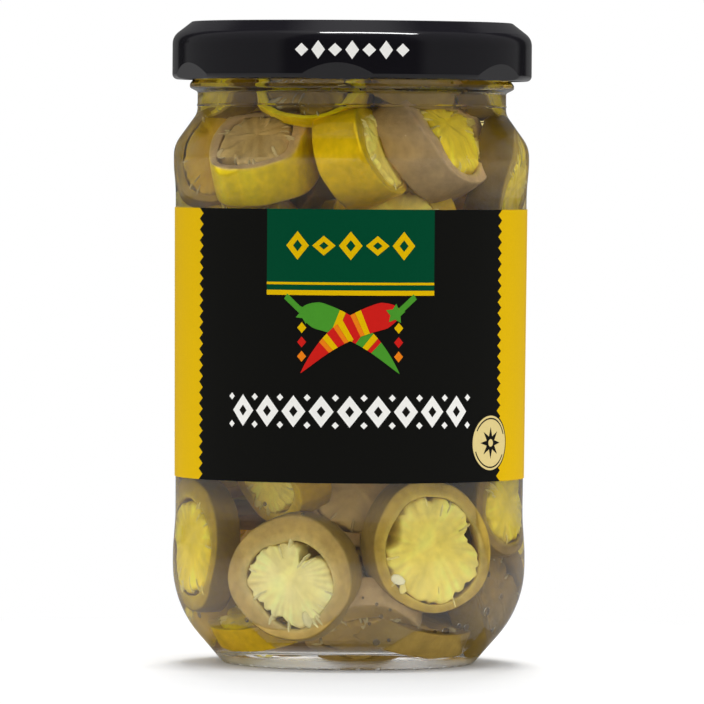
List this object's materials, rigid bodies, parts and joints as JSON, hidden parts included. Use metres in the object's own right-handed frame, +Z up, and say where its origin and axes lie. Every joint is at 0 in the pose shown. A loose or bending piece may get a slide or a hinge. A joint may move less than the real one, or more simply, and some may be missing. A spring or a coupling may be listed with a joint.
{
  "type": "jar of sliced jalapenos",
  "caption": "Round glass jar of pickled green pepper slices in brine, with a black twist-off lid and a wrap-around paper label; it stands on its ring base.",
  "frame": {"origin": "middle of the ring that the jar stands on", "axes": "+Z up along the jar's axis, -Y to the front of the label, +X to the right as seen from the front"},
  "size_m": [0.0666, 0.0666, 0.1185],
  "materials": {
    "clear_glass": "clear flint glass, smooth, with a faint mould seam and a stippled standing ring",
    "black_lacquer": "gloss black lacquer on pressed tinplate",
    "label_paper": "coated paper, satin, printed black with yellow side bands and a green field",
    "brine": "clear yellow-green vinegar brine",
    "pepper_flesh": "wet, waxy pickled pepper wall, olive to yellow green",
    "pepper_seed": "smooth pale seeds and pith",
    "air_bubble": "small air bubbles in the brine",
    "label_print": "satin printing ink fields on the label"
  },
  "bodies": {
    "root": {"jar": "clear_glass", "lid": "black_lacquer", "label": "label_paper", "brine": "brine"}
  },
  "joints": []
}
